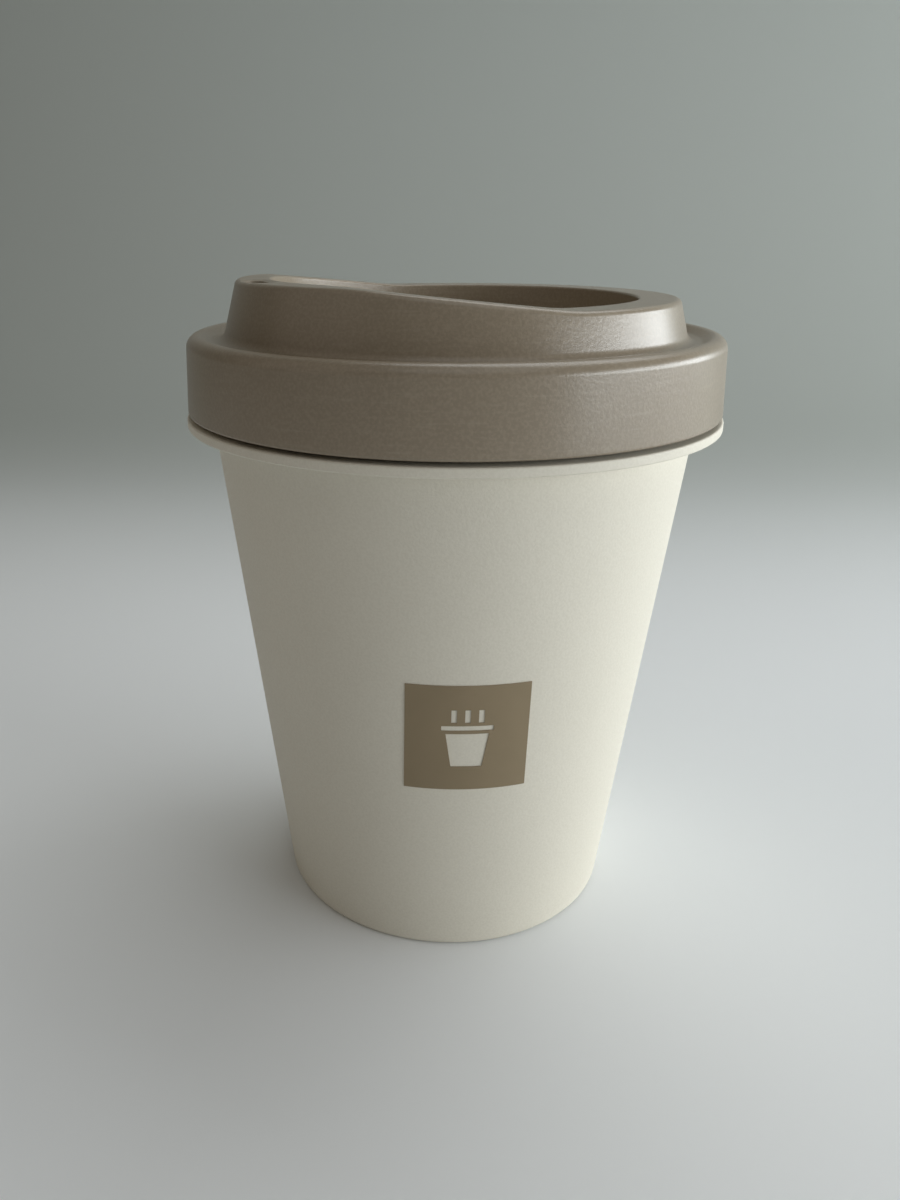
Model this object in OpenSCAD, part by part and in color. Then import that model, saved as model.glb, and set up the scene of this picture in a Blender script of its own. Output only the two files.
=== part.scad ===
// Reusable coffee mug: a tapered moulded cup with a screw lid.
// The origin is the centre of the foot on the table, +Z is up, sizes are in millimetres.
// The printed square faces -Y and the sip hole lies at mouth_az, counted from +X.

/* [Cup] */
// Outer radius of the cup at the table
base_r = 31.4; // [28:0.1:35]
// Draft of the cup's outer wall from upright, in degrees
cup_draft = 6.5; // [4:0.1:9]
// Wall of the cup, square to its face
cup_wall = 2.2; // [1.6:0.1:3]
// Thickness of the cup's floor
floor_t = 2.6; // [1.8:0.1:4]
// Depth of the recess under the floor
foot_recess = 1.2; // [0.6:0.1:2]
// Width of the ring that the cup stands on, at its base
foot_w = 4.4; // [3:0.1:7]
// Rounding of the cup's lower outer edge
base_round = 1.2; // [0.6:0.1:1.8]
// Rounding in the corner between the floor and the inner wall
floor_round = 3.5; // [1.5:0.1:6]

/* [Flange and neck] */
// Height of the flange's top face above the table
flange_z = 91.9; // [70:0.1:120]
// Thickness of the flange
flange_t = 1.75; // [1.2:0.05:3]
// Reach of the flange beyond the wall under it
flange_reach = 3.7; // [3:0.1:5]
// Rounding of the flange's edges
flange_round = 0.4; // [0.1:0.05:0.5]
// Height of the threaded neck above the flange
neck_h = 9; // [8:0.1:13]
// Wall of the neck
neck_wall = 2.2; // [1.6:0.1:2.8]
// Rounding of the drinking rim
rim_round = 0.7; // [0.3:0.05:0.75]

/* [Thread] */
// Rise of the thread in one turn
thread_pitch = 4; // [3.6:0.1:5]
// Height of the thread out of the wall that carries it
thread_depth = 1.8; // [1.4:0.1:2.2]
// Width of a thread at its foot
thread_foot = 2.2; // [1.8:0.1:2.4]
// Width of a thread at its crest
thread_crest = 1; // [0.6:0.1:1.4]
// Clear way between a thread's crest and the wall that it faces
thread_play = 0.5; // [0.3:0.05:0.8]
// Clear way between the flanks that bear on each other
flank_play = 0.3; // [0.2:0.05:0.4]

/* [Seal] */
// Thickness of the seal ring
seal_t = 1.6; // [1:0.1:3]
// Clear way between the seal ring and the rib inside it
seal_play = 0.3; // [0.2:0.05:0.5]
// Clear way between the seal ring and the skirt around it
seal_edge = 1.1; // [0.9:0.1:2]

/* [Lid] */
// Gap that shows between the flange and the lid's skirt
seam_gap = 0.7; // [0.4:0.05:1.2]
// How far the skirt stands proud of the flange
skirt_proud = 0.6; // [0:0.1:1.2]
// Wall of the skirt at its foot
skirt_wall = 2.5; // [2:0.1:3]
// Draft of the skirt's outer face from upright, in degrees
skirt_draft = 2.4; // [0:0.1:3]
// Rounding of the skirt's lower edge
skirt_round = 0.45; // [0.2:0.05:0.8]
// Wall of the lid's deck, dome and dish
lid_wall = 1.8; // [1.4:0.1:2.2]
// Rise of the shoulder's crest above the deck
shoulder_rise = 1.1; // [0.6:0.1:1.3]
// Radius of the shoulder's outer edge
shoulder_round = 2; // [1.2:0.1:2.4]
// Width of the shoulder, from the skirt's foot to the dome's foot
shoulder_w = 6.6; // [6:0.1:7.4]
// Clear way between the neck's bore and the rib inside it
rib_play = 0.7; // [0.4:0.1:1]
// Thickness of the rib that centres the seal ring
rib_t = 1.4; // [1:0.1:2]
// Depth of that rib below the deck
rib_h = 3; // [2:0.1:4.5]

/* [Dome] */
// Height of the dome's low rim above the deck
dome_h = 6.7; // [5:0.1:9]
// Draft of the dome's outer wall from upright, in degrees
dome_draft = 15; // [8:0.5:18]
// Radius of the fillet at the dome's foot
dome_fillet = 1.6; // [1:0.1:2]
// Width of the level land on top of the dome
land_w = 6.7; // [5.8:0.1:8]
// Rounding of the land's outer edge
land_round = 1; // [0.5:0.1:1.5]
// Rounding of the land's inner edge
dish_edge_round = 0.4; // [0.2:0.1:0.8]
// Rise of the land from the low rim to the mouth
mouth_rise = 3.1; // [2:0.1:5]
// Direction of the mouth, counted from +X, in degrees
mouth_az = 205; // [180:1:250]
// Distance from the axis, towards the mouth, at which the rise begins
rise_from = -2; // [-6:0.5:2]
// Distance from the axis, towards the mouth, at which the rise ends
rise_to = 27; // [22:0.5:30]
// Depth of the dish below the low rim
dish_depth = 7.2; // [5:0.1:8]
// Rounding in the corner of the dish
dish_round = 2.5; // [1:0.1:4]

/* [Holes] */
// Length of the sip hole, round the rim
sip_length = 7.4; // [5:0.1:11]
// Width of the sip hole, across the rim
sip_w = 2.6; // [2:0.1:2.8]
// Depth of the dip around the sip hole
dip_depth = 0.45; // [0.2:0.05:0.7]
// Radius of the dip's round floor
dip_r = 7; // [5:0.5:9]
// Diameter of the vent hole in the dish
vent_d = 1.6; // [1:0.1:2.5]
// Distance of the vent hole from the axis, away from the mouth
vent_x = 22; // [10:1:26]

/* [Print] */
// Side of the printed square
print_side = 20; // [10:0.5:30]
// Height of the print's middle above the table
print_z = 45.4; // [30:0.1:60]
// Direction that the print faces, counted from +X, in degrees
print_az = -84.5; // [-100:0.5:-70]
// Thickness of the ink
ink_t = 0.12; // [0.08:0.01:0.3]
// Width of the little cup left bare in the print, at its top
mark_w = 7; // [4:0.1:12]
// Height of the little cup left bare in the print
mark_h = 6.4; // [3:0.1:8]
// Width of the thin strokes of the mark
mark_stroke = 0.9; // [0.5:0.1:1.5]

/* [Hidden] */
$fn = 96;
cup_color = "#d9d6cb";
lid_color = "#8d8478";
print_color = "#857661";
seal_color = "#c9c6bf";

// Enough to cut clean through a face
over = 1;
// Direction of one step round a thread and round the dome's rim, in degrees
thread_step = 10;
rim_step = 4;

// Cup, from the table up
flange_low_z = flange_z - flange_t;
rim_z = flange_z + neck_h;
flange_r = cup_r(flange_low_z) + flange_reach;
inner_floor_z = foot_recess + floor_t;
inner_taper_z = flange_low_z - 6;

// Lid, from the seam up
skirt_z = flange_z + seam_gap;
under_deck_z = rim_z + seal_t;
deck_z = under_deck_z + lid_wall;
shoulder_z = deck_z + shoulder_rise;
low_z = deck_z + dome_h;
mouth_z = low_z + mouth_rise;
dish_z = low_z - dish_depth;
rib_z = under_deck_z - rib_h;
// Level at which the dome's sloping crest starts on its round lower part
crest_z = low_z - 2;

// Radii, from the outside in
skirt_r = flange_r + skirt_proud;
bore_r = skirt_r - skirt_wall;
cup_crest_r = bore_r - thread_play;
neck_r = cup_crest_r - thread_depth;
lid_crest_r = neck_r + thread_play;
neck_bore_r = neck_r - neck_wall;
rib_outer_r = neck_bore_r - rib_play;
rib_inner_r = rib_outer_r - rib_t;
dome_foot_r = skirt_r - shoulder_w;
dish_r = dome_r(low_z) - land_w;
sip_r = dish_r + lid_wall + sip_w / 2 + 0.05;

// Thread: both ribs follow one helix, the lid's below the cup's by what their flanks need
thread_root = 0.4;
flank_slope = (thread_foot - thread_crest) / 2 / thread_depth;
thread_drop = thread_foot - flank_slope * (bore_r - neck_r) + flank_play;
cup_thread_z = flange_z + 3;
thread_turns = (rim_z - cup_thread_z - 1.4) / thread_pitch;
lid_thread_z = skirt_z + thread_foot / 2 + 0.5;
lid_thread_az = 360 * (lid_thread_z + thread_drop - cup_thread_z) / thread_pitch;

// Outer radius of the cup's wall at height z
function cup_r(z) = base_r + z * tan(cup_draft);
// Outer radius of the dome's wall at height z
function dome_r(z) = dome_foot_r - (z - deck_z) * tan(dome_draft);

// Height of the land at distance s from the axis towards the mouth, with both bends eased
ease = 2.5;
rise_slope = mouth_rise / (rise_to - rise_from);
function bend(x) = x < -ease ? 0 : x > ease ? x : (x + ease) * (x + ease) / (4 * ease);
function land_z(s) = low_z + rise_slope * (bend(s - rise_from) - bend(s - rise_to));

// Rounding of a corner p between its neighbours a and b with radius r
function unit(v) = v / norm(v);
function half_angle(p, a, b) = acos(unit(a - p) * unit(b - p)) / 2;
function arc_centre(p, a, b, r) = p + unit(unit(a - p) + unit(b - p)) * r / sin(half_angle(p, a, b));
function tangent_point(p, a, b, r) = p + unit(a - p) * r / tan(half_angle(p, a, b));
function outward(p, a, b) = cross(p - a, b - p) > 0;

// What lies between a corner and its rounding, reaching a little past the corner
module corner_gap(p, a, b, r) {
    c = arc_centre(p, a, b, r);
    difference() {
        polygon([p + 0.1 * (p - c), tangent_point(p, a, b, r), c, tangent_point(p, b, a, r)]);
        translate(c) circle(r = r);
    }
}

// The gaps of all rounded corners that point outward, or of all that point inward.
// Each corner is [x, y, rounding], listed counter-clockwise.
module corner_gaps(corners, wanted) {
    n = len(corners);
    for (i = [0 : n - 1]) {
        p = [corners[i].x, corners[i].y];
        a = [corners[(i + n - 1) % n].x, corners[(i + n - 1) % n].y];
        b = [corners[(i + 1) % n].x, corners[(i + 1) % n].y];
        if (corners[i].z > 0 && outward(p, a, b) == wanted) corner_gap(p, a, b, corners[i].z);
    }
}

// A closed outline with true round corners
module outline(corners) {
    difference() {
        union() {
            polygon([for (c = corners) [c.x, c.y]]);
            corner_gaps(corners, false);
        }
        corner_gaps(corners, true);
    }
}

// A solid of revolution from such an outline
module turned(corners) {
    rotate_extrude() outline(corners);
}

// A thread's rib of four corners, swept up its helix, with both ends run out
module thread_rib(wall_r, crest_r, z, start_az) {
    steps = ceil(360 * thread_turns / thread_step);
    run_out = 3;
    outward_sign = sign(crest_r - wall_r);
    root_r = wall_r - outward_sign * thread_root;
    foot = thread_foot / 2 + flank_slope * thread_root;
    rings = [for (i = [0 : steps])
        let (
            full = min(1, (i + 0.5) / run_out, (steps - i + 0.5) / run_out),
            r = wall_r + (crest_r - wall_r) * full,
            half = thread_foot / 2 - flank_slope * abs(r - wall_r),
            turn = i * thread_step,
            mid = z + thread_pitch * turn / 360
        )
        for (p = [[root_r, -foot], [r, -half], [r, half], [root_r, foot]])
            [p.x * cos(start_az + turn), p.x * sin(start_az + turn), mid + p.y]];
    sides = [for (i = [0 : steps - 1], j = [0 : 3])
        let (a = 4 * i + j, b = 4 * i + (j + 1) % 4)
        each [[a, b, b + 4], [a, b + 4, a + 4]]];
    ends = [[3, 2, 1, 0], [4 * steps, 4 * steps + 1, 4 * steps + 2, 4 * steps + 3]];
    faces = concat(sides, ends);
    polyhedron(rings, outward_sign > 0 ? faces : [for (f = faces) [for (k = [len(f) - 1 : -1 : 0]) f[k]]]);
}

// Tapered cup with its foot ring, flange and threaded neck
module cup() {
    inner_cut = cup_wall / cos(cup_draft);
    color(cup_color) union() {
        turned([
            [0, foot_recess, 0],
            [base_r - foot_w, foot_recess, 0.5],
            [base_r - foot_w, 0, 0.4],
            [base_r, 0, base_round],
            [cup_r(flange_low_z), flange_low_z, 0.6],
            [flange_r, flange_low_z, flange_round],
            [flange_r, flange_z, flange_round],
            [neck_r, flange_z, 0.5],
            [neck_r, rim_z, rim_round],
            [neck_bore_r, rim_z, rim_round],
            [neck_bore_r, flange_z, 0],
            [min(neck_bore_r, cup_r(inner_taper_z) - inner_cut), inner_taper_z, 0],
            [cup_r(inner_floor_z) - inner_cut, inner_floor_z, floor_round],
            [0, inner_floor_z, 0]
        ]);
        thread_rib(neck_r, cup_crest_r, cup_thread_z, 0);
    }
}

// Silicone ring between the cup's rim and the lid's deck
module seal_ring() {
    color(seal_color) turned([
        [rib_outer_r + seal_play, rim_z, 0],
        [bore_r - seal_edge, rim_z, 0],
        [bore_r - seal_edge, under_deck_z, 0],
        [rib_outer_r + seal_play, under_deck_z, 0]
    ]);
}

// Everything below the land's height less a wall, which rises straight towards the mouth
module below_land(wall) {
    reach = 2 * skirt_r;
    bends = [for (at = [rise_from, rise_to], k = [-4 : 4]) at + k * ease / 4];
    stations = concat([-reach], bends, [reach]);
    rotate([0, 0, mouth_az]) rotate([90, 0, 0])
        linear_extrude(height = 2 * reach, center = true)
            polygon(concat([[-reach, 0]], [[reach, 0]],
                [for (k = [len(stations) - 1 : -1 : 0]) [stations[k], land_z(stations[k]) - wall]]));
}

// The dome's crest: a closed ring whose land follows land_z and whose edges are rounded
module dome_crest() {
    inset = 0.6;
    // How far its lower edges stand proud of the turned solids that it joins
    lap = 0.03;
    outer_arc = [for (k = [0 : 6]) dome_draft + (90 - dome_draft) * k / 6];
    inner_arc = [for (k = [0 : 3]) 90 + 30 * k];
    count = round(360 / rim_step);
    inner_r = dish_r + dish_edge_round;
    sections = [for (i = [0 : count - 1])
        let (
            to_mouth = cos(i * rim_step),
            // Where the outer rounding is centred, found from the land's height just inside it
            near_r = dome_r(low_z) - land_round,
            top = land_z(near_r * to_mouth),
            outer_r = dome_r(top - land_round) - land_round / cos(dome_draft),
            outer_top = land_z(outer_r * to_mouth),
            inner_top = land_z(inner_r * to_mouth)
        )
        concat(
            [[dish_r + inset, crest_z - inset], [dome_r(crest_z) - inset, crest_z - inset]],
            [[(dome_r(crest_z) + lap) / cos(rim_step / 2), crest_z]],
            [for (a = outer_arc) [outer_r + land_round * cos(a), outer_top - land_round * (1 - sin(a))]],
            [for (a = inner_arc) [inner_r + dish_edge_round * cos(a), inner_top - dish_edge_round * (1 - sin(a))]],
            [[dish_r - lap, crest_z]]
        )];
    n = len(sections[0]);
    points = [for (i = [0 : count - 1], p = sections[i])
        [p.x * cos(mouth_az + i * rim_step), p.x * sin(mouth_az + i * rim_step), p.y]];
    faces = [for (i = [0 : count - 1], j = [0 : n - 1])
        let (
            a = n * i + j,
            b = n * i + (j + 1) % n,
            c = n * ((i + 1) % count) + (j + 1) % n,
            d = n * ((i + 1) % count) + j
        )
        each [[a, b, c], [a, c, d]]];
    polyhedron(points, faces);
}

// The lid's outside below the crest, solid to the axis, with the dish sunk in it
module lid_outside() {
    skirt_top_r = skirt_r - (shoulder_z - skirt_z) * tan(skirt_draft);
    valley_r = dome_foot_r + (skirt_top_r - dome_foot_r) * 0.32;
    bead_r = skirt_top_r - shoulder_round - 0.3;
    difference() {
        turned([
            [0, skirt_z, 0],
            [skirt_r, skirt_z, skirt_round],
            [skirt_top_r, shoulder_z, shoulder_round],
            [bead_r, shoulder_z, 0.8],
            [valley_r, deck_z, 1],
            [dome_foot_r, deck_z, dome_fillet],
            [dome_r(crest_z), crest_z, 0],
            [0, crest_z, 0]
        ]);
        turned([
            [0, dish_z, 0],
            [dish_r, dish_z, dish_round],
            [dish_r, mouth_z, 0],
            [0, mouth_z, 0]
        ]);
    }
}

// The room under the lid: the threaded bore, the rib's inside and the hollow of the dome
module lid_hollow() {
    cut = lid_wall / cos(dome_draft);
    difference() {
        union() {
            turned([
                [0, skirt_z - over, 0],
                [bore_r, skirt_z - over, 0],
                [bore_r, under_deck_z, 0.8],
                [rib_outer_r, under_deck_z, 0],
                [rib_outer_r, rib_z, 0],
                [0, rib_z, 0]
            ]);
            intersection() {
                translate([0, 0, rib_z - over]) cylinder(r = rib_inner_r, h = mouth_z - rib_z);
                translate([0, 0, rib_z - over])
                    cylinder(r1 = dome_r(rib_z - over) - cut, r2 = dome_r(mouth_z) - cut, h = mouth_z - rib_z + over);
                below_land(lid_wall);
            }
        }
        turned([
            [0, dish_z - lid_wall, 0],
            [dish_r + lid_wall, dish_z - lid_wall, dish_round + lid_wall],
            [dish_r + lid_wall, mouth_z, 0],
            [0, mouth_z, 0]
        ]);
    }
}

// The sip hole with the shallow dip around it, and the vent hole
module lid_holes() {
    half = (sip_length - sip_w) / 2;
    rotate([0, 0, mouth_az]) translate([sip_r, 0, 0]) {
        for (y = [-half, half])
            translate([0, y, mouth_z - lid_wall - over]) cylinder(d = sip_w, h = lid_wall + 2 * over);
        translate([-sip_w / 2, -half, mouth_z - lid_wall - over]) cube([sip_w, 2 * half, lid_wall + 2 * over]);
        translate([0, 0, mouth_z + dip_r - dip_depth]) {
            for (y = [-half, half]) translate([0, y, 0]) sphere(r = dip_r);
            translate([0, -half, 0]) rotate([-90, 0, 0]) cylinder(r = dip_r, h = 2 * half);
        }
    }
    rotate([0, 0, mouth_az]) translate([-vent_x, 0, dish_z - lid_wall - over])
        cylinder(d = vent_d, h = lid_wall + 2 * over);
}

// Screw lid, moulded in one piece
module lid() {
    color(lid_color) union() {
        difference() {
            union() {
                lid_outside();
                dome_crest();
            }
            lid_hollow();
            lid_holes();
        }
        thread_rib(bore_r, lid_crest_r, lid_thread_z, lid_thread_az);
    }
}

// Little cup with a lid and steam, seen from the front, which the print leaves bare
module mark() {
    gap = 0.6;
    lid_w = mark_w + 1.4;
    steam_h = 2.4;
    translate([0, -mark_h + 1]) {
        polygon([
            [-mark_w * 0.36, 0],
            [mark_w * 0.36, 0],
            [mark_w / 2, mark_h],
            [-mark_w / 2, mark_h]
        ]);
        translate([-lid_w / 2, mark_h + gap]) square([lid_w, mark_stroke]);
        for (x = [-1 : 1])
            translate([x * 2.2 - mark_stroke / 2, mark_h + mark_stroke + 2 * gap]) square([mark_stroke, steam_h]);
    }
}

// Printed square on the cup's wall
module print_patch() {
    low = print_z - print_side / 2;
    color(print_color) difference() {
        intersection() {
            cylinder(r1 = cup_r(0) + ink_t, r2 = cup_r(flange_low_z) + ink_t, h = flange_low_z);
            rotate([0, 0, print_az]) translate([0, -print_side / 2, low]) cube([2 * base_r, print_side, print_side]);
        }
        cylinder(r1 = cup_r(0), r2 = cup_r(flange_low_z), h = flange_low_z);
        rotate([0, 0, print_az + 90]) translate([0, 0, print_z]) rotate([90, 0, 0])
            linear_extrude(height = 2 * base_r) mark();
    }
}

cup();
print_patch();
seal_ring();
lid();
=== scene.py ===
"""Looks of a reusable coffee mug: a matt moulded cup, a satin screw lid, a seal ring and a printed square.

Every piece is in metres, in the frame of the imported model. The cup stands on z = 0, the printed square
faces -Y and the mouth of the lid lies at 205 degrees, counted from +X.
"""

import math

import bpy
from bpy.props import FloatProperty, FloatVectorProperty, PointerProperty, StringProperty
from mathutils import Matrix, Vector


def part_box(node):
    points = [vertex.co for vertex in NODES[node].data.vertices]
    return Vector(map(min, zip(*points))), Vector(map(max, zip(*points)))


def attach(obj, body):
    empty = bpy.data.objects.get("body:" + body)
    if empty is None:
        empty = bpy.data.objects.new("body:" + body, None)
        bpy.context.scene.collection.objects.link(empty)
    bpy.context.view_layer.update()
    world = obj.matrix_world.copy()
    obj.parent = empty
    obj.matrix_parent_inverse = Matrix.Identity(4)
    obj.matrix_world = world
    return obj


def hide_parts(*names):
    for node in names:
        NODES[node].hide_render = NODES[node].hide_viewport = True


bl_info = {
    "name": "Coffee mug looks",
    "version": (1, 0, 0),
    "blender": (4, 5, 0),
    "location": "View3D > Sidebar > Mug",
    "description": "Materials, fine surfaces, floor, lamps and camera for a reusable coffee mug",
    "category": "Object",
}

MM = 0.001
SHARE, FIRST, SECOND, BLENDED = 0, 6, 7, 2  # sockets of a node that mixes two colours

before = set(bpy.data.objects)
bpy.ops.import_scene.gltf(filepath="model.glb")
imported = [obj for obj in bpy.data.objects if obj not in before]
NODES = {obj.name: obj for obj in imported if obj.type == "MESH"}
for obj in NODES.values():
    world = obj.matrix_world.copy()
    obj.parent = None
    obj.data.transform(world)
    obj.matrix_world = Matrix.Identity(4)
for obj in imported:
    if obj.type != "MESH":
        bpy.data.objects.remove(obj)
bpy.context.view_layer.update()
_, CUP_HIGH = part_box("cup")
LID_LOW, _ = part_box("lid")
_, SEAL_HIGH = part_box("seal_ring")


def linear(hex_colour):
    """Linear RGBA of an sRGB hex colour such as #e3dfd3."""
    channels = [int(hex_colour[i : i + 2], 16) / 255 for i in (1, 3, 5)]
    return [c / 12.92 if c <= 0.04045 else ((c + 0.055) / 1.055) ** 2.4 for c in channels] + [1.0]


def per_mm(size_mm):
    """Scale of a pattern whose features are size_mm across, for coordinates in metres."""
    return 1 / (size_mm * MM)


def add(tree, kind, inputs=None, **settings):
    """Adds a node. Its inputs, by name or number, take a value or a link from another node's socket."""
    node = tree.nodes.new(kind)
    for name, value in settings.items():
        setattr(node, name, value)
    for name, value in (inputs or {}).items():
        if isinstance(value, bpy.types.NodeSocket):
            tree.links.new(value, node.inputs[name])
        else:
            node.inputs[name].default_value = value
    return node


def new_material(name):
    """An empty material, its node tree and the place on the piece that its patterns are laid out by."""
    material = bpy.data.materials.new(name)
    material.use_nodes = True
    tree = material.node_tree
    tree.nodes.clear()
    return material, tree, add(tree, "ShaderNodeTexCoord").outputs["Object"]


def dress(piece, material):
    """Gives a piece one material."""
    piece.data.materials.clear()
    piece.data.materials.append(material)


def size(name, description, mm):
    """A length in the sidebar, given in millimetres and kept in metres."""
    return FloatProperty(
        name=name, description=description, default=mm * MM, subtype="DISTANCE", unit="LENGTH"
    )


def angle(name, description, degrees):
    """An angle in the sidebar, given in degrees and kept in radians."""
    return FloatProperty(name=name, description=description, default=math.radians(degrees), subtype="ANGLE")


class MugCupShape(bpy.types.PropertyGroup):
    """Sizes of the cup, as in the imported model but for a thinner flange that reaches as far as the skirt."""

    base_r: size("Foot radius", "Outer radius of the cup at the table", 31.4)
    draft: angle("Cup draft", "Draft of the cup's outer wall from upright", 6.5)
    wall: size("Cup wall", "Wall of the cup, square to its face", 2.2)
    floor_t: size("Floor", "Thickness of the cup's floor", 2.6)
    foot_recess: size("Foot recess", "Depth of the recess under the floor", 1.2)
    foot_w: size("Foot width", "Width of the ring that the cup stands on", 4.4)
    base_round: size("Base rounding", "Rounding of the cup's lower outer edge", 1.2)
    floor_round: size("Floor rounding", "Rounding between the floor and the inner wall", 3.5)
    flange_t: size("Flange thickness", "Thickness of the flange", 1.55)
    flange_reach: size("Flange reach", "Reach of the flange beyond the wall under it", 4.5)
    flange_round: size("Flange rounding", "Rounding of the flange's edges", 0.3)
    neck_h: size("Neck height", "Height of the threaded neck above the flange", 9)
    rim_round: size("Rim rounding", "Rounding of the drinking rim", 0.7)


class MugLidShape(bpy.types.PropertyGroup):
    """Sizes of the lid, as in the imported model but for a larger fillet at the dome's foot."""

    skirt_proud: size("Skirt proud", "How far the skirt stands proud of the flange", 0.6)
    skirt_wall: size("Skirt wall", "Wall of the skirt at its foot", 2.5)
    skirt_draft: angle("Skirt draft", "Draft of the skirt from upright", 2.4)
    skirt_round: size("Skirt rounding", "Rounding of the skirt's lower edge", 0.45)
    wall: size("Wall", "Wall of the deck, the dome and the dish", 1.8)
    shoulder_rise: size("Shoulder rise", "Rise of the shoulder's crest above the deck", 1.1)
    shoulder_round: size("Shoulder rounding", "Radius of the shoulder's outer edge", 2)
    shoulder_w: size("Shoulder width", "Width of the shoulder up to the dome's foot", 6.6)
    neck_wall: size("Neck wall", "Wall of the cup's neck, which the rib stands inside", 2.2)
    thread_depth: size("Thread depth", "Height of the thread out of its wall", 1.8)
    thread_play: size("Thread play", "Clear way between a thread's crest and the wall it faces", 0.5)
    thread_pitch: size("Thread pitch", "Rise of the thread in one turn", 4)
    thread_foot: size("Thread foot", "Width of the thread at its foot", 2.2)
    thread_crest: size("Thread crest", "Width of the thread at its crest", 1)
    flank_play: size("Flank play", "Clear way between the flanks that bear on each other", 0.3)
    rib_play: size("Rib play", "Clear way between the neck's bore and the rib inside it", 0.7)
    rib_t: size("Rib thickness", "Thickness of the rib that centres the seal ring", 1.4)
    rib_h: size("Rib height", "Depth of that rib below the deck", 3)
    dome_h: size("Dome height", "Height of the dome's low rim above the deck", 6.7)
    dome_draft: angle("Dome draft", "Draft of the dome's wall from upright", 15)
    dome_fillet: size("Dome fillet", "Radius of the fillet at the dome's foot", 2)
    land_w: size("Land width", "Width of the level land on top of the dome", 6.7)
    land_round: size("Land rounding", "Rounding of the land's outer edge", 1)
    dish_edge_round: size("Dish edge rounding", "Rounding of the land's inner edge", 0.4)
    mouth_rise: size("Mouth rise", "Rise of the land from the low rim to the mouth", 3.1)
    mouth_az: angle("Mouth direction", "Direction of the mouth, counted from +X", 205)
    rise_from: size("Rise begins", "Distance from the axis at which the rise begins", -2)
    rise_to: size("Rise ends", "Distance from the axis at which the rise ends", 27)
    ease: size("Ease", "Half the length of each bend of the land", 2.5)
    dish_depth: size("Dish depth", "Depth of the dish below the low rim", 7.2)
    dish_round: size("Dish rounding", "Rounding in the corner of the dish", 2.5)
    sip_length: size("Sip hole length", "Length of the sip hole round the rim", 7.4)
    sip_w: size("Sip hole width", "Width of the sip hole across the rim", 2.6)
    sip_round: size("Sip hole rounding", "Rounding of the sip hole's edge", 0.3)
    dip_depth: size("Dip depth", "Depth of the dip around the sip hole", 0.45)
    dip_reach: size("Dip reach", "Reach of the dip from the middle line of the sip hole", 2.8)
    vent_d: size("Vent diameter", "Diameter of the vent hole in the dish", 1.6)
    vent_x: size("Vent place", "Distance of the vent hole from the axis, away from the mouth", 22)


class MugColours(bpy.types.PropertyGroup):
    """Colours of the pieces, as sRGB hex values."""

    cup: StringProperty(name="Cup", description="Warm off-white of the cup", default="#e4dfd1")
    lid: StringProperty(name="Lid", description="Taupe of the lid", default="#918573")
    ink: StringProperty(name="Ink", description="Taupe of the printed square", default="#8a7b60")
    seal: StringProperty(name="Seal", description="Milky white of the seal ring", default="#dedbd2")


class MugFinish(bpy.types.PropertyGroup):
    """Roughness and grain of the moulded surfaces."""

    cup_roughness: FloatProperty(
        name="Cup roughness", description="Roughness of the matt cup", default=0.62, min=0.2, max=1
    )
    lid_roughness: FloatProperty(
        name="Lid roughness", description="Roughness of the satin lid", default=0.3, min=0.1, max=1
    )
    cup_grain: FloatProperty(
        name="Cup grain", description="Size of the cup's grain in millimetres", default=0.4, min=0.1, max=2
    )
    lid_grain: FloatProperty(
        name="Lid grain", description="Size of the lid's grain in millimetres", default=0.45, min=0.1, max=2
    )


class MugStage(bpy.types.PropertyGroup):
    """Floor, lamps and camera."""

    floor: StringProperty(name="Floor", description="Colour of the floor", default="#eceff1")
    # Painted shade: the backdrop's colour is darker than the floor's, for the light that falls off behind the
    # mug
    backdrop: StringProperty(
        name="Backdrop", description="Colour of the backdrop's upper part", default="#a3a8a4"
    )
    key_power: FloatProperty(
        name="Window light", description="Power of the large lamp on the right, in watts", default=10, min=0
    )
    sky_power: FloatProperty(
        name="Sky light", description="Power of the lamp above and behind, in watts", default=3, min=0
    )
    ceiling_power: FloatProperty(
        name="Ceiling light", description="Power of the faint lamp over the front, in watts", default=0.8, min=0
    )
    fill_power: FloatProperty(
        name="Fill light", description="Power of the weak lamp on the left, in watts", default=0.7, min=0
    )
    ambient: FloatProperty(
        name="Ambient", description="Strength of the light from all round", default=0.09, min=0, max=1
    )
    lens: FloatProperty(name="Lens", description="Focal length in millimetres", default=28.825, min=10)
    shift: FloatVectorProperty(
        name="Shift", description="Camera shift across and up", size=2, default=(0.05023, -0.01073)
    )
    place: FloatVectorProperty(
        name="Place", description="Place of the camera", size=3, subtype="XYZ", default=(0, -0.172, 0.12244)
    )
    tilt: FloatVectorProperty(
        name="Tilt",
        description="Degrees that the camera looks down, turns left and rolls",
        size=3,
        default=(20.697, 3.7065, -0.247),
    )


class MugLook(bpy.types.PropertyGroup):
    """All settings of the mug's looks."""

    cup: PointerProperty(type=MugCupShape)
    lid: PointerProperty(type=MugLidShape)
    colours: PointerProperty(type=MugColours)
    finish: PointerProperty(type=MugFinish)
    stage: PointerProperty(type=MugStage)


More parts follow.
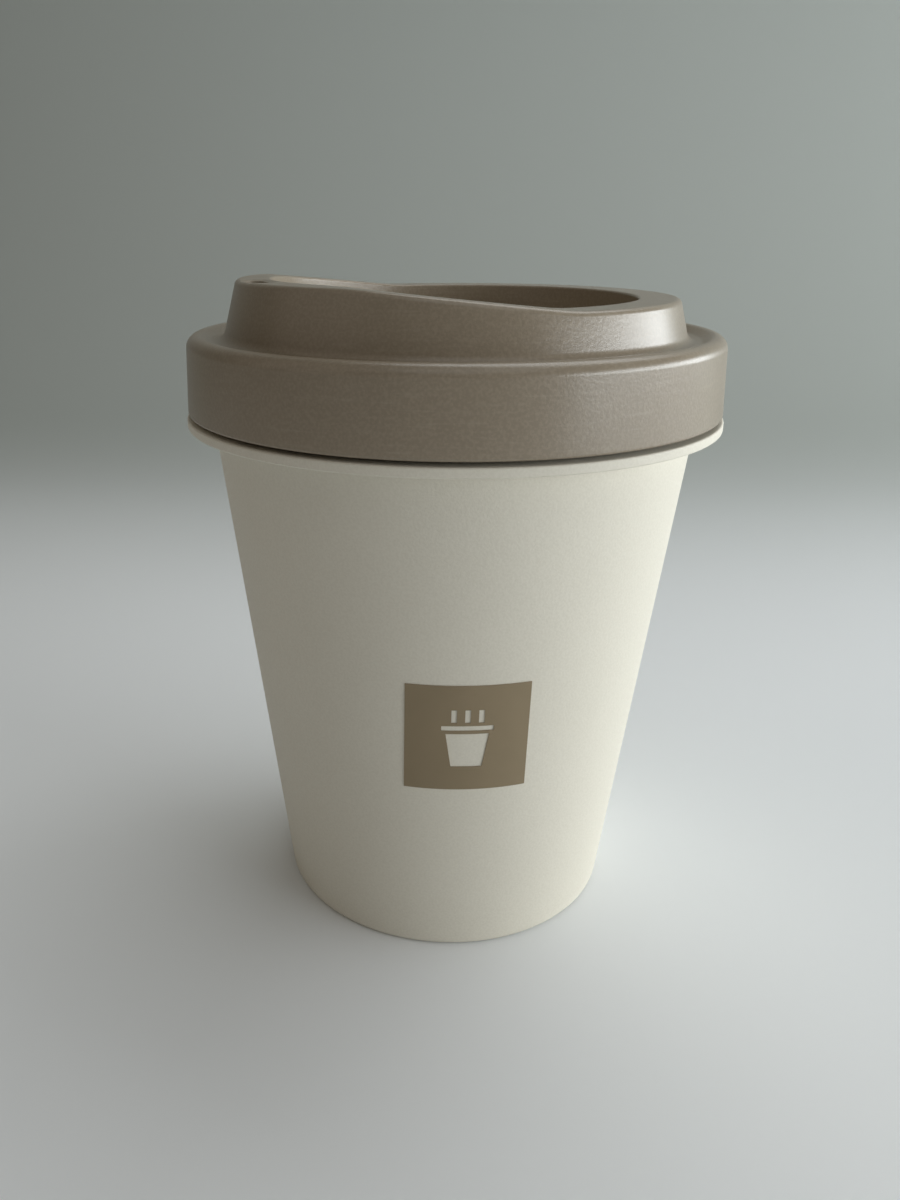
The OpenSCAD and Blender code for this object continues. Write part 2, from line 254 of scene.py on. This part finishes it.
def matt_moulded_polypropylene(colours, finish):
    """Polypropylene from a spark-eroded mould: dull, even, with a fine grain and hardly any gloss."""
    material, tree, place = new_material("matt_moulded_polypropylene")
    # Slow unevenness of the moulded wall, a few centimetres across
    cloud = add(tree, "ShaderNodeTexNoise", {"Vector": place, "Scale": per_mm(22), "Detail": 2.0})
    # The mould's grain is finer than a pixel, and is drawn coarse enough to show
    grain_scale = per_mm(finish.cup_grain)
    grain = add(tree, "ShaderNodeTexNoise", {"Vector": place, "Scale": grain_scale, "Detail": 3.0})
    tone = add(
        tree,
        "ShaderNodeMix",
        {SHARE: cloud.outputs[0], FIRST: linear(colours.cup), SECOND: linear("#e0dbcd")},
        data_type="RGBA",
    )
    speck = add(
        tree,
        "ShaderNodeMapRange",
        {"Value": grain.outputs[0], "From Min": 0.4, "From Max": 0.62, "To Min": 0.0, "To Max": 0.24},
    )
    base = add(
        tree,
        "ShaderNodeMix",
        {SHARE: speck.outputs[0], FIRST: tone.outputs[BLENDED], SECOND: linear("#cfc9b9")},
        data_type="RGBA",
    )
    uneven = 0.04
    rough = add(
        tree,
        "ShaderNodeMapRange",
        {
            "Value": cloud.outputs[0],
            "From Min": 0.3,
            "From Max": 0.7,
            "To Min": finish.cup_roughness - uneven,
            "To Max": finish.cup_roughness + uneven,
        },
    )
    bump = add(tree, "ShaderNodeBump", {"Height": grain.outputs[0], "Strength": 0.5, "Distance": 0.06 * MM})
    shader = add(
        tree,
        "ShaderNodeBsdfPrincipled",
        {
            "Base Color": base.outputs[BLENDED],
            "Roughness": rough.outputs[0],
            "IOR": 1.49,
            "Normal": bump.outputs[0],
        },
    )
    add(tree, "ShaderNodeOutputMaterial", {"Surface": shader.outputs[0]})
    return material


def satin_moulded_polypropylene(colours, finish):
    """Polypropylene from a finely blasted mould: satin, with soft highlights, specks, and handling marks
    painted lighter, partly wear and partly painted sheen.
    """
    material, tree, place = new_material("satin_moulded_polypropylene")
    # Slow unevenness, and a grain drawn coarse enough to show
    cloud = add(tree, "ShaderNodeTexNoise", {"Vector": place, "Scale": per_mm(16), "Detail": 2.0})
    grain_scale = per_mm(finish.lid_grain)
    grain = add(tree, "ShaderNodeTexNoise", {"Vector": place, "Scale": grain_scale, "Detail": 3.0})
    # Handling marks run round the lid: long across, short up
    long_mm, short_mm = 9, 0.5
    streak_place = add(
        tree,
        "ShaderNodeMapping",
        {"Vector": place, "Scale": (per_mm(long_mm), per_mm(long_mm), per_mm(short_mm))},
    )
    streak_inputs = {"Vector": streak_place.outputs[0], "Scale": 1.0, "Detail": 4.0}
    streak = add(tree, "ShaderNodeTexNoise", streak_inputs)
    tone = add(
        tree,
        "ShaderNodeMix",
        {SHARE: cloud.outputs[0], FIRST: linear(colours.lid), SECOND: linear("#8a7e6d")},
        data_type="RGBA",
    )
    speck = add(
        tree,
        "ShaderNodeMapRange",
        {"Value": grain.outputs[0], "From Min": 0.42, "From Max": 0.64, "To Min": 0.0, "To Max": 0.36},
    )
    base = add(
        tree,
        "ShaderNodeMix",
        {SHARE: speck.outputs[0], FIRST: tone.outputs[BLENDED], SECOND: linear("#a69885")},
        data_type="RGBA",
    )
    # The handling marks are painted a lighter tone: partly wear, partly painted sheen that the marks catch
    scuff_and_sheen = add(
        tree,
        "ShaderNodeMapRange",
        {"Value": streak.outputs[0], "From Min": 0.56, "From Max": 0.72, "To Min": 0.0, "To Max": 0.1},
    )
    worn_and_sheen = add(
        tree,
        "ShaderNodeMix",
        {SHARE: scuff_and_sheen.outputs[0], FIRST: base.outputs[BLENDED], SECOND: linear("#c0b6a4")},
        data_type="RGBA",
    )
    uneven = 0.02
    rough = add(
        tree,
        "ShaderNodeMapRange",
        {
            "Value": streak.outputs[0],
            "From Min": 0.3,
            "From Max": 0.7,
            "To Min": finish.lid_roughness - uneven,
            "To Max": finish.lid_roughness + uneven,
        },
    )
    bump = add(tree, "ShaderNodeBump", {"Height": grain.outputs[0], "Strength": 0.5, "Distance": 0.05 * MM})
    shader = add(
        tree,
        "ShaderNodeBsdfPrincipled",
        {
            "Base Color": worn_and_sheen.outputs[BLENDED],
            "Roughness": rough.outputs[0],
            "IOR": 1.6,
            "Normal": bump.outputs[0],
        },
    )
    add(tree, "ShaderNodeOutputMaterial", {"Surface": shader.outputs[0]})
    return material


def pad_printed_ink(colours):
    """Flat taupe ink laid on by a pad: a dull film that shows the grain under it."""
    material, tree, place = new_material("pad_printed_ink")
    # The cup's grain shows through, and the film is uneven over a few millimetres
    grain = add(tree, "ShaderNodeTexNoise", {"Vector": place, "Scale": per_mm(0.4), "Detail": 3.0})
    film = add(tree, "ShaderNodeTexNoise", {"Vector": place, "Scale": per_mm(5), "Detail": 3.0})
    tone = add(
        tree,
        "ShaderNodeMix",
        {SHARE: film.outputs[0], FIRST: linear(colours.ink), SECOND: linear("#948368")},
        data_type="RGBA",
    )
    bump = add(tree, "ShaderNodeBump", {"Height": grain.outputs[0], "Strength": 0.4, "Distance": 0.02 * MM})
    shader = add(
        tree,
        "ShaderNodeBsdfPrincipled",
        {"Base Color": tone.outputs[BLENDED], "Roughness": 0.55, "IOR": 1.48, "Normal": bump.outputs[0]},
    )
    add(tree, "ShaderNodeOutputMaterial", {"Surface": shader.outputs[0]})
    return material


def moulded_silicone(colours):
    """Milky silicone rubber, soft to the light, with a dull moulded skin."""
    material, tree, place = new_material("moulded_silicone")
    cloud = add(tree, "ShaderNodeTexNoise", {"Vector": place, "Scale": per_mm(3), "Detail": 3.0})
    tone = add(
        tree,
        "ShaderNodeMix",
        {SHARE: cloud.outputs[0], FIRST: linear(colours.seal), SECOND: linear("#d2cfc6")},
        data_type="RGBA",
    )
    bump = add(tree, "ShaderNodeBump", {"Height": cloud.outputs[0], "Strength": 0.3, "Distance": 0.03 * MM})
    shader = add(
        tree,
        "ShaderNodeBsdfPrincipled",
        {
            "Base Color": tone.outputs[BLENDED],
            "Roughness": 0.45,
            "IOR": 1.41,
            "Subsurface Weight": 0.2,
            "Subsurface Radius": (1.0, 0.9, 0.8),
            "Subsurface Scale": 1 * MM,
            "Normal": bump.outputs[0],
        },
    )
    add(tree, "ShaderNodeOutputMaterial", {"Surface": shader.outputs[0]})
    return material


def rounded(corners, steps=8):
    """Points of a section whose corners (r, z, rounding) are true arcs. The first and last stay sharp."""
    points = []
    for i, (r, z, rounding) in enumerate(corners):
        p = Vector((r, z))
        if not rounding:
            points.append(p)
            continue
        before = (Vector(corners[i - 1][:2]) - p).normalized()
        after = (Vector(corners[i + 1][:2]) - p).normalized()
        half = before.angle(after) / 2
        centre = p + (before + after).normalized() * rounding / math.sin(half)
        start = p + before * rounding / math.tan(half) - centre
        end = p + after * rounding / math.tan(half) - centre
        sweep = start.angle(end)
        for k in range(steps + 1):
            a, b = math.sin((1 - k / steps) * sweep), math.sin(k / steps * sweep)
            points.append(centre + (start * a + end * b) / math.sin(sweep))
    return points


def mesh_object(name, points, faces):
    """A mesh object with outward faces, linked to the scene."""
    mesh = bpy.data.meshes.new(name)
    mesh.from_pydata(points, [], faces)
    mesh.validate()
    made = bpy.data.objects.new(name, mesh)
    bpy.context.scene.collection.objects.link(made)
    return made


def around(azimuth, r, z):
    """The point at height z whose distance from the axis is r, in a direction counted from +X."""
    return (r * math.cos(azimuth), r * math.sin(azimuth), z)


def turned(name, azimuths, section):
    """A closed skin round the axis. section(azimuth) gives as many (r, z) each time, from axis to axis."""
    rings = [section(azimuth) for azimuth in azimuths]
    n, turns = len(rings[0]) - 2, len(azimuths)
    points = [around(azimuth, *p) for azimuth, ring in zip(azimuths, rings) for p in ring[1:-1]]
    first, last = len(points), len(points) + 1
    points += [around(0, *rings[0][0]), around(0, *rings[0][-1])]
    faces = []
    for i in range(turns):
        here, there = i * n, (i + 1) % turns * n
        faces += [(here + j, here + j + 1, there + j + 1, there + j) for j in range(n - 1)]
        faces += [(first, here, there), (last, there + n - 1, here + n - 1)]
    return mesh_object(name, points, faces)


def lofted(name, rings):
    """A closed skin through rings of as many points each, capped at both ends."""
    n = len(rings[0])
    faces = [tuple(reversed(range(n))), tuple(range(len(rings) * n - n, len(rings) * n))]
    for i in range(len(rings) - 1):
        low, high = i * n, i * n + n
        faces += [(low + j, low + (j + 1) % n, high + (j + 1) % n, high + j) for j in range(n)]
    return mesh_object(name, [p for ring in rings for p in ring], faces)


def carve(piece, tools):
    """Adds or cuts each (operation, tool) from the piece and deletes the tools."""
    for operation, tool in tools:
        step = piece.modifiers.new(tool.name, "BOOLEAN")
        step.operation, step.object, step.solver = operation, tool, "MANIFOLD"
    bpy.context.view_layer.update()
    old = piece.data
    carved = piece.evaluated_get(bpy.context.evaluated_depsgraph_get())
    piece.data = bpy.data.meshes.new_from_object(carved)
    piece.data.name = piece.name
    piece.modifiers.clear()
    bpy.data.meshes.remove(old)
    for _, tool in tools:
        bpy.data.objects.remove(tool)


def smooth(piece, sharp_degrees=38):
    """Smooth shading between crisp edges, with the broad faces kept true."""
    mesh = piece.data
    mesh.polygons.foreach_set("use_smooth", [True] * len(mesh.polygons))
    mesh.set_sharp_from_angle(angle=math.radians(sharp_degrees))
    weighted = piece.modifiers.new("broad_faces_true", "WEIGHTED_NORMAL")
    weighted.keep_sharp = True


class LidPlan:
    """Places in the lid that follow from its sizes, in metres."""

    sip_clear = 0.05 * MM  # from the sip hole to the face of the dish's wall

    def __init__(self, shape):
        self.shape = shape
        self.skirt_r = CUP_HIGH.x + shape.skirt_proud
        self.skirt_z = LID_LOW.z
        self.under_z = SEAL_HIGH.z
        self.deck_z = self.under_z + shape.wall
        self.shoulder_z = self.deck_z + shape.shoulder_rise
        self.low_z = self.deck_z + shape.dome_h
        self.mouth_z = self.low_z + shape.mouth_rise
        self.dish_z = self.low_z - shape.dish_depth
        self.rib_z = self.under_z - shape.rib_h
        self.bore_r = self.skirt_r - shape.skirt_wall
        self.neck_r = self.bore_r - shape.thread_play - shape.thread_depth
        self.rib_outer_r = self.neck_r - shape.neck_wall - shape.rib_play
        self.rib_inner_r = self.rib_outer_r - shape.rib_t
        self.skirt_top_r = self.skirt_r - (self.shoulder_z - self.skirt_z) * math.tan(shape.skirt_draft)
        self.dome_foot_r = self.skirt_r - shape.shoulder_w
        self.dish_r = self.dome_r(self.low_z) - shape.land_w
        self.sip_r = self.dish_r + shape.wall + shape.sip_w / 2 + self.sip_clear
        self.sip_half = (shape.sip_length - shape.sip_w) / 2

    def dome_r(self, z):
        """Outer radius of the dome's wall at height z."""
        return self.dome_foot_r - (z - self.deck_z) * math.tan(self.shape.dome_draft)

    def bend(self, x):
        """A straight rise that begins at 0, eased over both sides of it."""
        ease = self.shape.ease
        return 0 if x < -ease else x if x > ease else (x + ease) ** 2 / (4 * ease)

    def land_z(self, s):
        """Height of the land at distance s from the axis towards the mouth."""
        shape = self.shape
        slope = shape.mouth_rise / (shape.rise_to - shape.rise_from)
        return self.low_z + slope * (self.bend(s - shape.rise_from) - self.bend(s - shape.rise_to))

    def dip(self, azimuth, r):
        """How far the land dips round the sip hole."""
        shape = self.shape
        out = r * math.cos(azimuth - shape.mouth_az) - self.sip_r
        along = max(0, abs(r * math.sin(azimuth - shape.mouth_az)) - self.sip_half)
        share = (out * out + along * along) / shape.dip_reach**2
        return shape.dip_depth * (1 - share) ** 1.5 if share < 1 else 0

    def crest(self, azimuth, land_steps=12, arc_steps=7):
        """The land with both its rounded edges, from the dish's wall to the dome's."""
        shape = self.shape
        to_mouth = math.cos(azimuth - shape.mouth_az)
        edge, curve = shape.dish_edge_round, shape.land_round
        top = self.land_z((self.dome_r(self.low_z) - curve) * to_mouth)
        inner_r = self.dish_r + edge
        outer_r = self.dome_r(top - curve) - curve / math.cos(shape.dome_draft)
        inner_z, outer_z = self.land_z(inner_r * to_mouth), self.land_z(outer_r * to_mouth)
        points = []
        for k in range(arc_steps):
            a = math.pi - math.pi / 2 * k / arc_steps
            points.append((inner_r + edge * math.cos(a), inner_z - edge * (1 - math.sin(a))))
        for k in range(land_steps):
            r = inner_r + (outer_r - inner_r) * k / land_steps
            points.append((r, self.land_z(r * to_mouth)))
        for k in range(arc_steps + 1):
            a = math.pi / 2 + (shape.dome_draft - math.pi / 2) * k / arc_steps
            points.append((outer_r + curve * math.cos(a), outer_z - curve * (1 - math.sin(a))))
        return [(r, z - self.dip(azimuth, r)) for r, z in points]

    def section(self, azimuth):
        """The lid's whole section, from the dish's floor over the land and the skirt to its underside."""
        shape = self.shape
        wall_in = shape.wall / math.cos(shape.dome_draft)
        outside_dish, land_end_r = self.dish_r + shape.wall, 36 * MM
        to_mouth = math.cos(azimuth - shape.mouth_az)
        under_land = min(self.land_z(r * to_mouth) for r in (outside_dish, land_end_r)) - shape.wall
        hollow_z = self.deck_z + (self.dome_foot_r - wall_in - self.rib_inner_r) / math.tan(shape.dome_draft)
        # The shoulder has a narrow level crest and falls inward to a shallow valley round the dome
        crest_flat, crest_round, valley_share, valley_round = 0.4 * MM, 1.4 * MM, 0.36, 1 * MM
        crest_r = self.skirt_top_r - shape.shoulder_round - crest_flat
        valley_r = self.dome_foot_r + (self.skirt_top_r - self.dome_foot_r) * valley_share
        # Heights at which the two rounded strips hand over to the land's own edges
        dish_top_z, dome_from_z = self.low_z - 1.5 * MM, self.deck_z + 4 * MM
        edge_round, bore_round, hollow_round = 0.2 * MM, 0.8 * MM, 0.3 * MM
        parts = 4
        dish = [(self.dish_r * k / parts, self.dish_z, 0) for k in range(parts)]
        dish += [(self.dish_r, self.dish_z, shape.dish_round), (self.dish_r, dish_top_z, 0)]
        outside = [
            (self.dome_r(dome_from_z), dome_from_z, 0),
            (self.dome_foot_r, self.deck_z, shape.dome_fillet),
            (valley_r, self.deck_z, valley_round),
            (crest_r, self.shoulder_z, crest_round),
            (self.skirt_top_r, self.shoulder_z, shape.shoulder_round),
            (self.skirt_r, self.skirt_z, shape.skirt_round),
            (self.bore_r, self.skirt_z, edge_round),
            (self.bore_r, self.under_z, bore_round),
            (self.rib_outer_r, self.under_z, edge_round),
            (self.rib_outer_r, self.rib_z, edge_round),
            (self.rib_inner_r, self.rib_z, edge_round),
            (self.rib_inner_r, hollow_z, 0),
            (self.dome_r(under_land) - wall_in, under_land, hollow_round),
            (outside_dish, under_land, hollow_round),
            (outside_dish, self.dish_z - shape.wall, shape.dish_round + shape.wall),
        ]
        outside += [(outside_dish * k / parts, self.dish_z - shape.wall, 0) for k in reversed(range(parts))]
        return rounded(dish) + self.crest(azimuth) + rounded(outside)


def cup_section(shape, lid_plan):
    """The cup's whole section, from the middle of its floor over the rim and the flange to its underside."""
    flange_z = CUP_HIGH.z - shape.neck_h
    flange_low_z = flange_z - shape.flange_t
    floor_z, taper_h = shape.foot_recess + shape.floor_t, 6 * MM
    taper_z = flange_low_z - taper_h
    neck_foot_round, flange_root_round, foot_round, recess_round = 0.5 * MM, 0.6 * MM, 0.4 * MM, 0.5 * MM
    neck_bore_r = lid_plan.neck_r - lid_plan.shape.neck_wall
    foot_inner_r = shape.base_r - shape.foot_w

    def outer_r(z):
        return shape.base_r + z * math.tan(shape.draft)

    def inner_r(z):
        return outer_r(z) - shape.wall / math.cos(shape.draft)

    flange_r = outer_r(flange_low_z) + shape.flange_reach
    return rounded([
        (0, floor_z, 0),
        (inner_r(floor_z) / 2, floor_z, 0),
        (inner_r(floor_z), floor_z, shape.floor_round),
        (min(neck_bore_r, inner_r(taper_z)), taper_z, 0),
        (neck_bore_r, flange_z, 0),
        (neck_bore_r, CUP_HIGH.z, shape.rim_round),
        (lid_plan.neck_r, CUP_HIGH.z, shape.rim_round),
        (lid_plan.neck_r, flange_z, neck_foot_round),
        (flange_r, flange_z, shape.flange_round),
        (flange_r, flange_low_z, shape.flange_round),
        (outer_r(flange_low_z), flange_low_z, flange_root_round),
        (shape.base_r, 0, shape.base_round),
        (foot_inner_r, 0, foot_round),
        (foot_inner_r, shape.foot_recess, recess_round),
        (foot_inner_r / 2, shape.foot_recess, 0),
        (0, shape.foot_recess, 0),
    ])


def thread_rib(name, plan, neck_h, on_cup):
    """A thread: a rib swept up its helix on the cup's neck or in the lid's skirt, with both ends run out."""
    shape = plan.shape
    slope = (shape.thread_foot - shape.thread_crest) / 2 / shape.thread_depth
    above_flange, below_rim, above_skirt = 3 * MM, 1.4 * MM, 0.5 * MM
    steps_a_turn, run_out, root, crest_round = 90, 8, 0.4 * MM, 0.25 * MM
    cup_start = CUP_HIGH.z - neck_h + above_flange
    turns = (CUP_HIGH.z - cup_start - below_rim) / shape.thread_pitch
    wall_r, out, start, start_az = plan.neck_r, 1, cup_start, 0
    if not on_cup:
        # The lid's thread lies under the cup's, with the flanks' play between them
        drop = shape.thread_foot - slope * (plan.bore_r - plan.neck_r) + shape.flank_play
        wall_r, out, start = plan.bore_r, -1, plan.skirt_z + shape.thread_foot / 2 + above_skirt
        start_az = 2 * math.pi * (start + drop - cup_start) / shape.thread_pitch
    steps = round(turns * steps_a_turn)
    rings = []
    for i in range(steps + 1):
        full = min(1, (i + 0.5) / run_out, (steps - i + 0.5) / run_out)
        depth, azimuth = shape.thread_depth * full, start_az + 2 * math.pi * turns * i / steps
        mid = start + shape.thread_pitch * turns * i / steps
        half, foot = shape.thread_foot / 2 - slope * depth, shape.thread_foot / 2 + slope * root
        soft = min(crest_round, half / 2, depth / 2)
        side = [(-root, -foot), (depth - soft, -half - slope * soft), (depth, soft - half)]
        loop = side + [(r, -up) for r, up in reversed(side)]
        rings.append([around(azimuth, wall_r + out * r, mid + up) for r, up in loop[::-out]])
    return lofted(name, rings)


def sip_hole(plan):
    """The cutter of the sip hole: an oblong that flares out at the top, to round the hole's edge."""
    shape = plan.shape
    top, rounding = plan.mouth_z - shape.dip_depth, shape.sip_round
    through, above, flare_steps, points_round = 3.4 * MM, 1 * MM, 6, 48
    levels = [(plan.mouth_z - through, 0)]
    for k in range(flare_steps + 1):
        a = math.pi / 2 * k / flare_steps
        levels.append((top - rounding * (1 - math.sin(a)), rounding * (1 - math.cos(a))))
    levels.append((plan.mouth_z + above, rounding))
    turn = Matrix.Rotation(shape.mouth_az, 4, "Z")
    rings = []
    for z, wider in levels:
        ring = []
        for k in range(points_round):
            a = math.pi * 2 * k / points_round
            reach = shape.sip_w / 2 + wider
            end = plan.sip_half if math.sin(a) >= 0 else -plan.sip_half
            ring.append(turn @ Vector((plan.sip_r + reach * math.cos(a), end + reach * math.sin(a), z)))
        rings.append(ring)
    return lofted("sip_hole", rings)


def vent_hole(plan):
    """The cutter of the vent hole in the dish's floor, with a small chamfer at the top."""
    shape = plan.shape
    x, y, _ = around(shape.mouth_az, -shape.vent_x, 0)
    through, chamfer, above, points_round = 3 * MM, 0.2 * MM, 0.1 * MM, 32
    angles = [math.pi * 2 * k / points_round for k in range(points_round)]
    rings = []
    for up, wider in [(-through, 0), (-chamfer, 0), (above, chamfer + above)]:
        r = shape.vent_d / 2 + wider
        rings.append([(x + r * math.cos(a), y + r * math.sin(a), plan.dish_z + up) for a in angles])
    return lofted("vent_hole", rings)


def lid_azimuths(plan, coarse=1.5, fine=0.5, fine_to=12):
    """Directions round the lid in radians, closer together near the sip hole."""
    degrees, at, hair = [], 0.0, 1e-6
    while at < 360 - hair:
        degrees.append(at)
        off = min(at, 360 - at)
        at += fine if off < fine_to - hair or 360 - at <= fine_to + hair else coarse
    return [plan.shape.mouth_az + math.radians(d) for d in degrees]


class MUG_OT_cup(bpy.types.Operator):
    """Finishes the cup in matt off-white polypropylene"""

    bl_idname = "mug.cup"
    bl_label = "Cup"

    def execute(self, context):
        look = context.scene.mug_look
        plan = LidPlan(look.lid)
        section, facets = cup_section(look.cup, plan), 240
        azimuths = [math.radians(360 * k / facets) for k in range(facets)]
        cup = turned("cup_moulding", azimuths, lambda azimuth: section)
        carve(cup, [("UNION", thread_rib("cup_thread", plan, look.cup.neck_h, on_cup=True))])
        smooth(cup)
        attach(cup, "cup")
        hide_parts("cup")
        dress(cup, matt_moulded_polypropylene(look.colours, look.finish))
        return {"FINISHED"}


class MUG_OT_lid(bpy.types.Operator):
    """Finishes the lid in satin taupe polypropylene"""

    bl_idname = "mug.lid"
    bl_label = "Lid"

    def execute(self, context):
        look = context.scene.mug_look
        plan = LidPlan(look.lid)
        lid = turned("lid_moulding", lid_azimuths(plan), plan.section)
        thread = thread_rib("lid_thread", plan, look.cup.neck_h, on_cup=False)
        carve(lid, [("UNION", thread), ("DIFFERENCE", sip_hole(plan)), ("DIFFERENCE", vent_hole(plan))])
        smooth(lid)
        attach(lid, "lid")
        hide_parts("lid")
        dress(lid, satin_moulded_polypropylene(look.colours, look.finish))
        return {"FINISHED"}


class MUG_OT_print(bpy.types.Operator):
    """Finishes the printed square in flat taupe ink"""

    bl_idname = "mug.print"
    bl_label = "Printed square"

    def execute(self, context):
        dress(NODES["print_patch"], pad_printed_ink(context.scene.mug_look.colours))
        return {"FINISHED"}


class MUG_OT_seal(bpy.types.Operator):
    """Finishes the seal ring in milky silicone"""

    bl_idname = "mug.seal"
    bl_label = "Seal ring"

    def execute(self, context):
        dress(NODES["seal_ring"], moulded_silicone(context.scene.mug_look.colours))
        return {"FINISHED"}


def seamless_paper(stage):
    """Pale paper sweep: dull, with a faint fibre, and painted shade that darkens it behind the mug."""
    material, tree, place = new_material("seamless_paper")
    fibre = add(tree, "ShaderNodeTexNoise", {"Vector": place, "Scale": per_mm(1.2), "Detail": 4.0})
    bump = add(tree, "ShaderNodeBump", {"Height": fibre.outputs[0], "Strength": 0.15, "Distance": 0.05 * MM})
    # Painted shade: the sheet is drawn darker behind the mug, by its height and its distance back, added up
    back = add(tree, "ShaderNodeVectorMath", {0: place, 1: (0, 1, 1)}, operation="DOT_PRODUCT")
    far = add(
        tree,
        "ShaderNodeMapRange",
        {
            "Value": back.outputs["Value"],
            "From Min": 60 * MM,
            "From Max": 420 * MM,
            "To Min": 0.0,
            "To Max": 1.0,
        },
        interpolation_type="SMOOTHSTEP",
    )
    shade = add(
        tree,
        "ShaderNodeMix",
        {SHARE: far.outputs[0], FIRST: linear(stage.floor), SECOND: linear(stage.backdrop)},
        data_type="RGBA",
    )
    shader = add(
        tree,
        "ShaderNodeBsdfPrincipled",
        {"Base Color": shade.outputs[BLENDED], "Roughness": 0.8, "IOR": 1.45, "Normal": bump.outputs[0]},
    )
    add(tree, "ShaderNodeOutputMaterial", {"Surface": shader.outputs[0]})
    return material


def area_lamp(name, azimuth, elevation, distance, size, power, colour):
    """A rectangular lamp that looks at the mug's middle. Its direction is in degrees, counted from +X."""
    aim = Vector((0, 0, 0.06))
    a, e = math.radians(azimuth), math.radians(elevation)
    away = Vector((math.cos(a) * math.cos(e), math.sin(a) * math.cos(e), math.sin(e)))
    data = bpy.data.lights.new(name, "AREA")
    data.shape = "RECTANGLE"
    data.size, data.size_y = size
    data.energy = power
    data.color = linear(colour)[:3]
    lamp = bpy.data.objects.new(name, data)
    lamp.location = aim + away * distance
    lamp.rotation_euler = away.to_track_quat("Z", "Y").to_euler()
    bpy.context.scene.collection.objects.link(lamp)


def paper_sweep(stage):
    """The floor, which curves up behind the mug into a plain backdrop."""
    half, front, bend_at, bend_r, top, steps = 2.0, -2.0, 0.30, 0.30, 2.0, 24
    arc = [math.radians(90 * k / steps) for k in range(steps + 1)]
    profile = [(front, 0.0)]
    profile += [(bend_at + bend_r * math.sin(a), bend_r * (1 - math.cos(a))) for a in arc]
    profile.append((bend_at + bend_r, top))
    points = [(x, y, z) for y, z in profile for x in (-half, half)]
    faces = [(2 * i, 2 * i + 1, 2 * i + 3, 2 * i + 2) for i in range(len(profile) - 1)]
    mesh = bpy.data.meshes.new("paper_sweep")
    mesh.from_pydata(points, [], faces)
    mesh.polygons.foreach_set("use_smooth", [True] * len(faces))
    sweep = bpy.data.objects.new("paper_sweep", mesh)
    sweep.data.materials.append(seamless_paper(stage))
    bpy.context.scene.collection.objects.link(sweep)


def soft_surroundings(stage):
    """Even light from all round, and a pale background where the sweep doesn't reach."""
    world = bpy.data.worlds.new("soft_surroundings")
    bpy.context.scene.world = world
    world.use_nodes = True
    tree = world.node_tree
    tree.nodes.clear()
    rays = add(tree, "ShaderNodeLightPath")
    light = add(tree, "ShaderNodeBackground", {"Color": linear("#fff0dc"), "Strength": stage.ambient})
    seen = add(tree, "ShaderNodeBackground", {"Color": linear("#c4c8c6"), "Strength": 1.0})
    mix = add(
        tree,
        "ShaderNodeMixShader",
        {0: rays.outputs["Is Camera Ray"], 1: light.outputs[0], 2: seen.outputs[0]},
    )
    add(tree, "ShaderNodeOutputWorld", {"Surface": mix.outputs[0]})


def photo_camera(stage):
    """The camera at the photograph's viewing angle."""
    data = bpy.data.cameras.new("photo_camera")
    data.sensor_fit = "AUTO"
    data.sensor_width = 36
    data.lens = stage.lens
    data.shift_x, data.shift_y = stage.shift
    data.clip_start, data.clip_end = 0.01, 20
    down, left, roll = (math.radians(degrees) for degrees in stage.tilt)
    level = Matrix.Rotation(left, 4, "Z") @ Matrix.Rotation(math.pi / 2 - down, 4, "X")
    turn = level @ Matrix.Rotation(roll, 4, "Z")
    camera = bpy.data.objects.new("photo_camera", data)
    camera.matrix_world = Matrix.Translation(stage.place) @ turn
    bpy.context.scene.collection.objects.link(camera)
    bpy.context.scene.camera = camera


class MUG_OT_stage(bpy.types.Operator):
    """Adds the pale floor, the soft lamps and the camera"""

    bl_idname = "mug.stage"
    bl_label = "Stage"

    def execute(self, context):
        stage = context.scene.mug_look.stage
        photo_camera(stage)
        paper_sweep(stage)
        soft_surroundings(stage)
        area_lamp("window", -3, 10.5, 0.9, (1.45, 0.28), stage.key_power, "#f3f8fa")
        area_lamp("ceiling", -75, 62, 0.9, (0.8, 0.6), stage.ceiling_power, "#f3f8fa")
        area_lamp("sky", 60, 60, 0.9, (0.7, 0.6), stage.sky_power, "#f8fafa")
        area_lamp("fill", 200, 35, 1.0, (0.9, 0.9), stage.fill_power, "#fff0dc")
        context.scene.view_settings.view_transform = "Standard"
        return {"FINISHED"}


class MUG_PT_looks(bpy.types.Panel):
    """Lists the mug's settings and the steps that build its looks"""

    bl_label = "Coffee mug"
    bl_space_type = "VIEW_3D"
    bl_region_type = "UI"
    bl_category = "Mug"

    def draw(self, context):
        look = context.scene.mug_look
        for group in (look.cup, look.lid, look.colours, look.finish, look.stage):
            box = self.layout.box()
            for name in group.__annotations__:
                box.prop(group, name)
        for operator in OPERATORS:
            self.layout.operator(operator.bl_idname)


OPERATORS = (MUG_OT_stage, MUG_OT_cup, MUG_OT_print, MUG_OT_seal, MUG_OT_lid)
CLASSES = (MugCupShape, MugLidShape, MugColours, MugFinish, MugStage, MugLook, *OPERATORS, MUG_PT_looks)


def register():
    for cls in CLASSES:
        bpy.utils.register_class(cls)
    bpy.types.Scene.mug_look = PointerProperty(type=MugLook)


def unregister():
    del bpy.types.Scene.mug_look
    for cls in reversed(CLASSES):
        bpy.utils.unregister_class(cls)


def main():
    """Builds the stage and the looks of every piece."""
    register()
    bpy.ops.mug.stage()
    bpy.ops.mug.cup()
    bpy.ops.mug.print()
    bpy.ops.mug.seal()
    bpy.ops.mug.lid()


if __name__ == "__main__":
    main()
